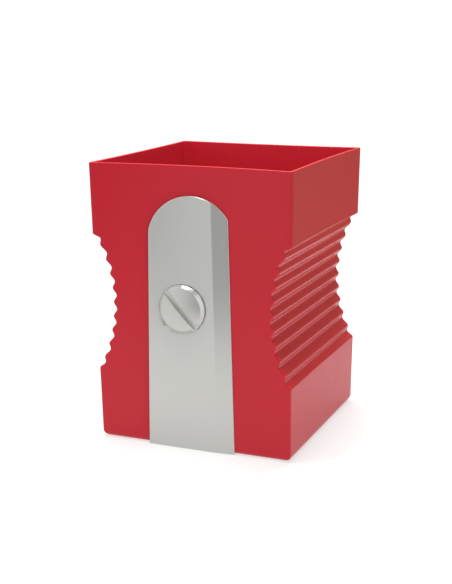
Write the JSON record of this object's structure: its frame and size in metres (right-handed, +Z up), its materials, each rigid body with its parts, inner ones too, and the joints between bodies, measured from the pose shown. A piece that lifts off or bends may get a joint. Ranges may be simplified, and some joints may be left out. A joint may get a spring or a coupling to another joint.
{
  "type": "wastepaper bin",
  "caption": "Open-top moulded wastepaper bin in the shape of a giant wedge pencil sharpener, with a ribbed waist, a silver blade plate and a slotted screw head.",
  "frame": {"origin": "middle of the tub's base, on the surface that the bin stands on", "axes": "+Z up to the open rim, -Y out of the front face that carries the blade plate, +X to the right seen from the front"},
  "size_m": [0.2188, 0.232, 0.295],
  "materials": {
    "red_plastic": "satin-gloss moulded, self-coloured",
    "silver_plate": "satin silver lacquer",
    "silver_screw": "satin silver lacquer",
    "clip_steel": "plain spring steel"
  },
  "bodies": {
    "root": {"tub": "red_plastic", "blade_plate": "silver_plate", "blade_screw": "silver_screw", "screw_clip": "clip_steel", "plate_clips": "clip_steel"}
  },
  "joints": []
}
